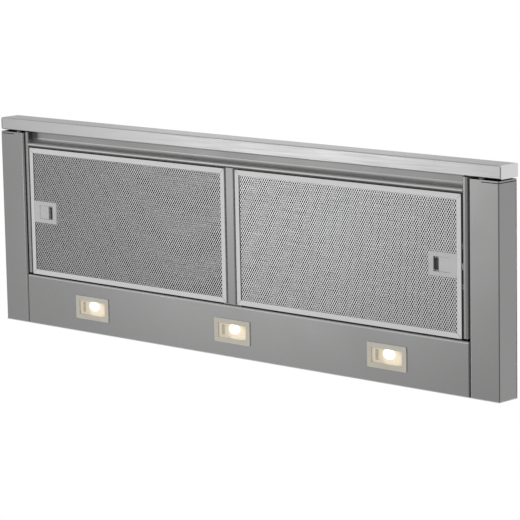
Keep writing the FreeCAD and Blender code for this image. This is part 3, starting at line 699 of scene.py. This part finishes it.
silver = flake_paint("silver_paint", (0.258, 0.258, 0.256), roughness=0.27, metallic=0.8)
silver_dark = flake_paint("silver_paint_channel", (0.28, 0.28, 0.277), roughness=0.36, metallic=0.6)
# Lighter copies of the channel paint: painted light on the grip channel's sweep, which lifts its shaded
# cove and draws a bright line, and a painted highlight on its lip.
sweep_painted_light = flake_paint("silver_paint_sweep_painted_light", (0.49, 0.49, 0.486), roughness=0.36, metallic=0.6)
lip_painted_highlight = flake_paint("silver_paint_lip_painted_highlight", (0.47, 0.47, 0.465), roughness=0.36, metallic=0.6)
# A lighter copy of the silver paint: painted highlights on the underside's bends.
bend_painted_highlight = flake_paint("silver_paint_bend_painted_highlight", (0.45, 0.45, 0.446), roughness=0.36, metallic=0.6)
# A darker copy of the silver paint: painted shade on the drawer sides' upright faces.
side_painted_shade = flake_paint("silver_paint_side_painted_shade", (0.22, 0.22, 0.218), roughness=0.5, metallic=0.3)
# Copies of the silver paint for the centre bar: a darker one, painted shade, and a lighter one, painted
# light on its upright faces.
centre_painted_shade = flake_paint("silver_paint_centre", (0.235, 0.235, 0.233), roughness=0.30, metallic=0.7)
centre_side_painted_light = flake_paint("silver_paint_centre_side", (0.40, 0.40, 0.397), roughness=0.5, metallic=0.3)
# Near black: painted shade on the columns' outer folds and at the grip channel's ends.
near_black_painted_shade = flake_paint("painted_shade_near_black", (0.07, 0.07, 0.07), roughness=0.5, metallic=0.3)
reflector = flake_paint("reflector_metal", (0.80, 0.75, 0.62), roughness=0.35, metallic=0.4)
motor_metal = flake_paint("motor_metal", (0.18, 0.185, 0.19), roughness=0.45, metallic=0.4)
zinc = zinc_sheet("zinc_sheet", (0.49, 0.50, 0.51))

bar_metal = brushed_metal(
    "bar_metal", (0.40, 0.40, 0.404), roughness=0.33, along=0, swing=0.05, edge=0.75,
)
# A lighter copy of the bar metal: painted light on the bar's end caps.
cap_painted_light = brushed_metal(
    "bar_cap_metal", (0.59, 0.59, 0.595), roughness=0.36, along=1, swing=0.05, edge=0.9,
)
runner_steel = brushed_metal("runner_steel", (0.62, 0.63, 0.64), roughness=0.32, along=1)
screw_steel = brushed_metal("screw_steel", (0.62, 0.62, 0.62), roughness=0.30, along=0)
frame_metal = brushed_metal(
    "filter_frame_metal", (0.63, 0.63, 0.632), roughness=0.42, along=0, swing=0.04, metallic=0.3,
)
# A dark copy of the frame metal: painted shade on the filter frames' walls and hinge pins.
frame_side_painted_shade = brushed_metal(
    "filter_frame_side", (0.20, 0.20, 0.20), roughness=0.5, along=0, swing=0.05, metallic=0.5,
)
# The left filter's sheet and core are darker than the right's and the cores are near black: painted shade
# on copies of one metal.
sheet_painted_shades = {"left": (0.465, 0.465, 0.466), "right": (0.585, 0.585, 0.586)}
core_painted_shades = {"left": (0.02, 0.02, 0.02), "right": (0.14, 0.14, 0.14)}
sheet_metals = {
    name: brushed_metal(
        "filter_sheet_metal_" + name, sheet_painted_shades[name], roughness=0.33, along=0, swing=0.05,
    )
    for name in SIDES
}
core_metals = {
    name: brushed_metal("filter_core_metal_" + name, core_painted_shades[name], roughness=0.60, along=1)
    for name in SIDES
}

pale_plastic = moulded_plastic("pale_plastic", (0.56, 0.56, 0.56), roughness=0.45)
bezel_plastic = moulded_plastic("bezel_plastic", (0.57, 0.537, 0.463), roughness=0.35)
ceramic = moulded_plastic("lamp_ceramic", (0.70, 0.66, 0.56), roughness=0.7, grain=SOFT_GRAIN)
rubber = moulded_plastic("rubber_pad", (0.30, 0.30, 0.29), roughness=0.75, grain=SOFT_GRAIN)
dark_plastic = moulded_plastic("dark_plastic", (0.025, 0.025, 0.027), roughness=0.45)
# Painted shade inside the latches' finger openings.
tray_painted_shade = moulded_plastic("tray_painted_shade", (0.14, 0.14, 0.14), roughness=0.6)
# Real dark joints at the filter frames' mitres and the bar caps' seams, and painted shade in gaps, on
# corners and in screw recesses.
dark_seams_and_painted_shade = moulded_plastic("dark_seams_and_painted_shade", (0.10, 0.10, 0.10), roughness=0.8)
# Black as painted shade in the gaps at the columns' front ends and behind their slits.
painted_gap_shade = moulded_plastic("painted_gap_shade", (0.01, 0.01, 0.01), roughness=0.8, gloss=0.0)

bezel_low, bezel_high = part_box("lamp_bezels")
lamp_pitch = (bezel_high.x - bezel_low.x - BEZEL_LENGTH) / (LAMPS - 1)
lamp_y = (bezel_low.y + bezel_high.y) / 2
lamp_glass = lit_glass("lamp_glass", (1.0, 0.90, 0.71), (1.0, 0.99, 0.95), lamp_pitch, lamp_y)
bulb = lit_bulb("bulb_glass", (1.0, 0.92, 0.76), strength=1.5)

SLOT_LOOKS = {
    "silver_paint": silver,
    "bar_metal": bar_metal,
    "zinc_sheet": zinc,
    "runner_steel": runner_steel,
    "filter_metal": frame_metal,
    "pale_plastic": pale_plastic,
    "bezel_plastic": bezel_plastic,
    "lamp_glass": lamp_glass,
    "reflector_metal": reflector,
    "lamp_ceramic": ceramic,
    "bulb_glass": bulb,
    "dark_plastic": dark_plastic,
    "rubber_pad": rubber,
    "motor_metal": motor_metal,
    "screw_steel": screw_steel,
}


# Finishes of the CAD nodes, with painted light and shade on some of their faces


def dress(node, material):
    """Gives every face of a CAD node one material."""
    mesh = frame["nodes"][node].data
    mesh.materials.clear()
    mesh.materials.append(material)


def repaint(node, material, chosen):
    """Gives the faces of a CAD node that are chosen a further material."""
    mesh = frame["nodes"][node].data
    mesh.materials.append(material)
    for face in mesh.polygons:
        if chosen(face):
            face.material_index = len(mesh.materials) - 1


def is_upright(face):
    return abs(face.normal.z) < UPRIGHT


def is_bend(face):
    """Chooses the sloping faces of a bend at the underside, for a painted highlight."""
    return -SQUARE < face.normal.z < -UPRIGHT


def is_left_bend(face):
    return is_bend(face) and face.normal.x < 0


def is_front(face):
    return face.normal.y < -SQUARE


def is_dim_wall(side):
    """Chooses one filter frame's walls, apart from those that look to the front or to the centre bar, for
    painted shade.
    """
    def chosen(face):
        return is_upright(face) and not is_front(face) and face.normal.x * side > -SQUARE
    return chosen


def is_sweep(face):
    """Chooses the grip channel's curved and upright faces above its lip, which take painted light."""
    return abs(face.normal.z) < SQUARE and face.center.z > SWEEP_HEIGHT


def is_lip(face):
    """Chooses the underside of the grip channel's lip, which takes a painted highlight."""
    return face.normal.z < -UPRIGHT and face.center.z < LIP_HEIGHT


def is_hinge_pin(face):
    """Chooses what lies beyond the front and rear walls of the filter frames, for painted shade."""
    low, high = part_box("filter_pack_left")
    reach = FRAME_WALL + PACK_PLAY
    return not low.y - reach < face.center.y < high.y + reach


for entry in frame["record"]["subparts"]:
    dress(entry["node"], SLOT_LOOKS[entry["material_slot"]])
# The grip channel: painted light on its sweep and a painted highlight on its lip.
dress("grip_channel", silver_dark)
repaint("grip_channel", sweep_painted_light, is_sweep)
repaint("grip_channel", lip_painted_highlight, is_lip)
# Painted light on the bar's end caps.
dress("bar_caps", cap_painted_light)
# The centre bar: painted shade, with painted light on its upright faces.
dress("centre_bar", centre_painted_shade)
repaint("centre_bar", centre_side_painted_light, is_upright)
# The column caps are black as painted shade in the gap behind the bar.
dress("column_caps", painted_gap_shade)
# Painted highlights on the lamp panel's bends and on the right column's inner bend.
repaint("lamp_panel", bend_painted_highlight, is_bend)
repaint("column_right", bend_painted_highlight, is_left_bend)
# Painted shade on each side: black on the column's front faces, a darker paint on the drawer side's upright
# faces, and dark metal on the filter frame's walls and hinge pins.
for name, side in SIDES.items():
    repaint("column_" + name, painted_gap_shade, is_front)
    repaint("drawer_side_" + name, side_painted_shade, is_upright)
    repaint("filter_frame_" + name, frame_side_painted_shade, is_dim_wall(side))
    repaint("filter_frame_" + name, frame_side_painted_shade, is_hinge_pin)


# Filters


def filter_face(name, side):
    """The rectangle of one filter frame's face, without the tabs at its outer end."""
    low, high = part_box("filter_pack_" + name)
    outer = end_x("filter_frame_" + name, side) - side * TAB_REACH
    inner = end_x("filter_pack_" + name, -side) - side * FRAME_WALL
    return sorted((outer, inner)), (low.y - FRAME_WALL, high.y + FRAME_WALL)


def lay_sheet(name, side):
    """The expanded sheet on the face of one filter."""
    x, y = filter_face(name, side)
    inset = FRAME_BORDER - SHEET_UNDER_FRAME
    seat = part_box("filter_pack_" + name)[0].z + SHEET_SEAT
    shape = diamond_mesh(
        (x[0] + inset, x[1] - inset), (y[0] + inset, y[1] - inset), (seat, seat + SHEET_THICKNESS),
        MESH_PITCH, MESH_ROW, rectangle("latch_housing_" + name),
    )
    sheet = new_piece("mesh_sheet_" + name, shape, sheet_metals[name], "filter_" + name)
    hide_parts("filter_pack_" + name)


def fill_filter(name):
    """The folded core of one filter and the coarser sheet on its back."""
    x, y = rectangle("filter_pack_" + name)
    latch = rectangle("latch_housing_" + name)
    shape = folded_core(x, y, (CORE_LOW, CORE_HIGH), CORE_FOLD, latch)
    core = new_piece("filter_core_" + name, shape, core_metals[name], "filter_" + name)
    thicken(core, CORE_SHEET, BOTH_SIDES)
    levels = (BACK_HEIGHT, BACK_HEIGHT - SHEET_THICKNESS)
    shape = diamond_mesh(x, y, levels, COARSE_PITCH, COARSE_ROW, latch)
    new_piece("mesh_back_" + name, shape, sheet_metals[name], "filter_" + name)


def draw_mitres(name, side):
    """Dark lines across the corners of one filter frame."""
    x, y = filter_face(name, side)
    inward = (FRAME_BORDER, -FRAME_BORDER)
    mitres = []
    for corner_x, step_x in zip(x, inward):
        for corner_y, step_y in zip(y, inward):
            end = (corner_x + step_x, corner_y + step_y, 0.0)
            mitres.append(strip((corner_x, corner_y, 0.0), end, MITRE_WIDTH, DOWN))
    new_piece("mitre_lines_" + name, joined(mitres), dark_seams_and_painted_shade, "filter_" + name)


def line_latch(name, side):
    """Painted shade: a dark tray inside one latch's recess, seen where the slider leaves the finger
    opening.
    """
    low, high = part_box("latch_housing_" + name)
    recess_out = end_x("latch_housing_" + name, side) - side * LATCH_RECESS_INSET
    recess_in = recess_out - side * LATCH_RECESS_LENGTH
    x = sorted((recess_in + side * LINER_GAP, recess_out - side * LINER_GAP))
    middle_y = (low.y + high.y) / 2
    half = LATCH_RECESS_WIDTH / 2 - LINER_GAP
    z = (low.z + LINER_RIM, low.z + LATCH_RECESS_DEPTH - LINER_GAP)
    shape = tray(x, (middle_y - half, middle_y + half), z)
    shade_sheet = new_piece("latch_shade_tray_" + name, shape, tray_painted_shade, "filter_" + name)
    thicken(shade_sheet, LINER_SHEET, BACK_SIDE)


# Folds, seams and gaps of the underside, drawn mostly in painted shade


def line_column(name, side):
    """A painted shade line on the outer fold of one column."""
    low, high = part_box("column_" + name)
    sunk = SHEET_FOLD * (1 - math.sqrt(0.5))
    x = end_x("column_" + name, side) - side * sunk
    line = strip((x, low.y, sunk), (x, high.y, sunk), LINE_WIDTH, (side, 0.0, -1.0))
    new_piece("column_fold_shade_" + name, line, near_black_painted_shade, "carcass")


def seam_bar(name, side):
    """Dark lines on the seam of one bar cap, a real joint, and painted shade on its lower corner."""
    low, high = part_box("bar_caps")
    x = side * (high.x - BAR_CAP)
    y = (low.y + SHEET_FOLD, high.y - SHEET_FOLD)
    z = (low.z + SHEET_FOLD, high.z - SHEET_FOLD)
    corner_x = side * (high.x - CORNER_LINE / 2)
    seam = joined([
        strip((corner_x, y[0], low.z), (corner_x, y[1], low.z), CORNER_LINE, DOWN),
        strip((x, y[0], low.z), (x, y[1], low.z), SEAM_WIDTH, DOWN),
        strip((x, y[0], high.z), (x, y[1], high.z), SEAM_WIDTH, UP),
        strip((x, low.y, z[0]), (x, low.y, z[1]), SEAM_WIDTH, AHEAD),
    ])
    new_piece("bar_seam_" + name, seam, dark_seams_and_painted_shade, "drawer")


def line_slit(name, side):
    """Painted shade: black strips behind the slit near the front end of one column."""
    low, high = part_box("column_" + name)
    outer = end_x("column_" + name, side)
    x = outer - side * (COLUMN_SHEET + SLIT_SEAT)
    y = low.y + SLIT_SETBACK + SLIT_WIDTH / 2
    z = low.z + COLUMN_SHEET + SLIT_SEAT
    shade_sheet = joined([
        strip((outer - side * SLIT_REACH, y, z), (x, y, z), SLIT_WIDTH, DOWN),
        strip((x, y, z), (x, y, high.z - SHEET_FOLD), SLIT_WIDTH, (side, 0.0, 0.0)),
    ])
    new_piece("slit_shade_strip_" + name, shade_sheet, painted_gap_shade, "carcass")


def close_channel(name, side):
    """Painted shade: the dark plate at one end of the grip channel and a dark strip behind its lip along
    one filter.
    """
    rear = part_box("grip_channel")[1].y
    x = end_x("drawer_side_" + name, -side)
    y = (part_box("front_bar")[1].y, rear - CHANNEL_LIP - CHANNEL_END_GAP)
    z = (CHANNEL_END_LOW + CHANNEL_END_HIGH) / 2
    plate = strip((x, y[0], z), (x, y[1], z), CHANNEL_END_HIGH - CHANNEL_END_LOW, (-side, 0.0, 0.0))
    new_piece("channel_end_shade_" + name, plate, near_black_painted_shade, "drawer")
    low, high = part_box("filter_frame_" + name)
    y = rear + LIP_STRIP / 2
    lip_strip = strip((low.x, y, LIP_STRIP_HEIGHT), (high.x, y, LIP_STRIP_HEIGHT), LIP_STRIP, DOWN)
    new_piece("lip_shade_strip_" + name, lip_strip, dark_seams_and_painted_shade, "drawer")


def part_centre_bar():
    """Painted shade in the gap between the grip channel's lip and the front end of the centre bar."""
    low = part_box("centre_bar")[0]
    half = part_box("filter_frame_right")[0].x - CENTRE_GAP_INSET
    y = low.y + CENTRE_GAP / 2
    gap = strip((-half, y, low.z), (half, y, low.z), CENTRE_GAP, DOWN)
    new_piece("centre_bar_gap_shade", gap, dark_seams_and_painted_shade, "drawer")


def close_panel():
    """The hem along the lamp panel's rear fold, and painted shade strips in the gaps between its ends and
    the columns.
    """
    low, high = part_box("lamp_panel")
    y = high.y - SHEET_FOLD / 2
    hem = strip((low.x, y, low.z), (high.x, y, low.z), SHEET_FOLD, DOWN)
    new_piece("panel_hem", hem, silver, "carcass")
    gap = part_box("column_right")[0].x - high.x
    gap_strips = [
        strip((x, low.y, PANEL_STRIP_HEIGHT), (x, high.y, PANEL_STRIP_HEIGHT), gap, DOWN)
        for x in (low.x - gap / 2, high.x + gap / 2)
    ]
    new_piece("panel_gap_shades", joined(gap_strips), dark_seams_and_painted_shade, "carcass")


for name, side in SIDES.items():
    lay_sheet(name, side)
    fill_filter(name)
    draw_mitres(name, side)
    line_latch(name, side)
    line_column(name, side)
    seam_bar(name, side)
    line_slit(name, side)
    close_channel(name, side)
part_centre_bar()
close_panel()


# Pieces behind the drawer and on top


def dress_inner_filter():
    """The expanded sheet of the fixed inner filter."""
    x, y = rectangle("inner_filter_frame", INNER_BORDER - INNER_UNDER_FRAME)
    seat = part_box("inner_filter_frame")[0].z + INNER_WALL + SHEET_SEAT
    shape = diamond_mesh(x, y, (seat, seat + SHEET_THICKNESS), COARSE_PITCH, COARSE_ROW)
    sheet = new_piece("inner_filter_sheet", shape, sheet_metals["right"], "carcass")
    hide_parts("inner_filter_pack")


def mark_screws():
    """Cross recesses on the heads of the housing's screws, drawn as proud strips in painted shade."""
    low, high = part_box("housing_screws")
    side_x = high.x - SCREW_RADIUS
    rear_y = high.y - SCREW_RADIUS
    front_y = low.y + SCREW_RADIUS
    middles = []
    for side in SIDES.values():
        middles += [(side * side_x, rear_y - row * SCREW_ROW_PITCH) for row in range(SCREW_ROWS)]
        middles.append((side * side_x / 2, front_y))
    crosses = [cross(x, y, high.z) for x, y in middles]
    new_piece("screw_crosses", joined(crosses), dark_seams_and_painted_shade, "carcass")


def fold_flanges(name, side):
    """The folded edges of the front and back sheets on one side of the housing, with their rivets."""
    low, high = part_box("housing_" + name)
    x = end_x("housing_" + name, side)
    normal = (side, 0.0, 0.0)
    bottom = low.z + FLANGE_GAP
    top = high.z - FLANGE_GAP
    step = (top - bottom - 2 * RIVET_END) / (RIVETS - 1)
    flanges = []
    rivets = []
    for y in (low.y + FLANGE_WIDTH / 2, high.y - FLANGE_WIDTH / 2):
        flanges.append(strip((x, y, bottom), (x, y, top), FLANGE_WIDTH, normal, FLANGE_SHEET))
        for row in range(RIVETS):
            place = (x + side * FLANGE_SHEET, y, bottom + RIVET_END + row * step)
            rivets.append(dome(place, normal, RIVET_RADIUS, RIVET_HEIGHT))
    new_piece("housing_flanges_" + name, joined(flanges), zinc, "carcass")
    new_piece("housing_rivets_" + name, joined(rivets), screw_steel, "carcass")


def screw_down(name, node, level, inset):
    """Four screws near the corners of a node's box, on a level of it, with cross recesses drawn in painted
    shade.
    """
    across, along = rectangle(node, inset)
    places = [(x, y) for x in across for y in along]
    heads = [dome((x, y, level), UP, HEAD_RADIUS, HEAD_HEIGHT) for x, y in places]
    crosses = [cross(x, y, level + HEAD_HEIGHT) for x, y in places]
    new_piece(name + "_screws", joined(heads), screw_steel, "carcass")
    new_piece(name + "_crosses", joined(crosses), dark_seams_and_painted_shade, "carcass")


dress_inner_filter()
mark_screws()
for name, side in SIDES.items():
    fold_flanges(name, side)
screw_down("collar", "outlet_collar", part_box("outlet_collar")[0].z + COLLAR_PLATE, COLLAR_SCREW_INSET)
screw_down("cover", "terminal_cover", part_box("terminal_cover")[1].z, COVER_SCREW_INSET)


# Floor, light and camera


def make_floor():
    half = FLOOR_SIZE / 2
    corners = ((-half, -half), (half, -half), (half, half), (-half, half))
    verts = [(x, y, FLOOR_LEVEL) for x, y in corners]
    mesh = bpy.data.meshes.new("floor")
    mesh.from_pydata(verts, [], [(0, 1, 2, 3)])
    graph = Graph("floor_paper")
    share = graph.spread(graph.noise(FLOOR_FIBRE), 0.0, 1.0)
    graph.feed(Base_Color=graph.blend(share, FLOOR_DARK, FLOOR_PALE))
    graph.set(Roughness=FLOOR_ROUGHNESS)
    mesh.materials.append(graph.material)
    floor = new_object("floor", mesh)


def make_world():
    """White where the camera, gloss or glass sees it; a plain soft level for lighting."""
    world = bpy.data.worlds.new("studio")
    bpy.context.scene.world = world
    world.use_nodes = True
    tree = world.node_tree
    tree.nodes.clear()

    def either(first, second):
        """1 where one of two values is 1."""
        node = tree.nodes.new("ShaderNodeMath")
        node.operation = "ADD"
        node.use_clamp = True
        tree.links.new(first, node.inputs[0])
        tree.links.new(second, node.inputs[1])
        return node.outputs["Value"]

    def white(strength):
        node = tree.nodes.new("ShaderNodeBackground")
        node.inputs["Strength"].default_value = strength
        node.inputs["Color"].default_value = (1.0, 1.0, 1.0, 1.0)
        return node.outputs["Background"]

    path = tree.nodes.new("ShaderNodeLightPath").outputs
    seen = either(either(path["Is Camera Ray"], path["Is Glossy Ray"]), path["Is Transmission Ray"])
    mix = tree.nodes.new("ShaderNodeMixShader")
    tree.links.new(seen, mix.inputs["Fac"])
    tree.links.new(white(WORLD_DIFFUSE), mix.inputs[1])
    tree.links.new(white(WORLD_SEEN), mix.inputs[2])
    output = tree.nodes.new("ShaderNodeOutputWorld")
    tree.links.new(mix.outputs["Shader"], output.inputs["Surface"])


def point(lamp, way):
    """Turns a lamp to shine along a way."""
    lamp.rotation_mode = "QUATERNION"
    lamp.rotation_quaternion = way.to_track_quat("-Z", "Y")


def make_light(name, place, size, power):
    light = bpy.data.lights.new(name, "AREA")
    light.shape = "SQUARE"
    light.size = size
    light.energy = power
    lamp = new_object(name, light)
    lamp.location = place
    point(lamp, AIM - Vector(place))


def make_sun():
    light = bpy.data.lights.new("sun_soft", "SUN")
    light.energy = SUN_STRENGTH
    light.angle = math.radians(SUN_ANGLE)
    point(new_object("sun_soft", light), -SUN_FROM)


def make_camera():
    data = bpy.data.cameras.new("camera")
    data.sensor_width = SENSOR_WIDTH
    data.lens = FOCAL_PIXELS * SENSOR_WIDTH / IMAGE_SIDE
    data.clip_end = CAMERA_REACH
    right = IMAGE_RIGHT.normalized()
    up = -(IMAGE_DOWN - right * IMAGE_DOWN.dot(right)).normalized()
    back = right.cross(up)
    turn = Matrix((right, up, back)).transposed().to_4x4()
    camera = new_object("camera", data)
    camera.matrix_world = Matrix.Translation(CAMERA_PLACE) @ turn
    bpy.context.scene.camera = camera


make_floor()
make_world()
for light in LIGHTS:
    make_light(*light)
make_sun()
make_camera()
bpy.context.scene.view_settings.view_transform = "Standard"
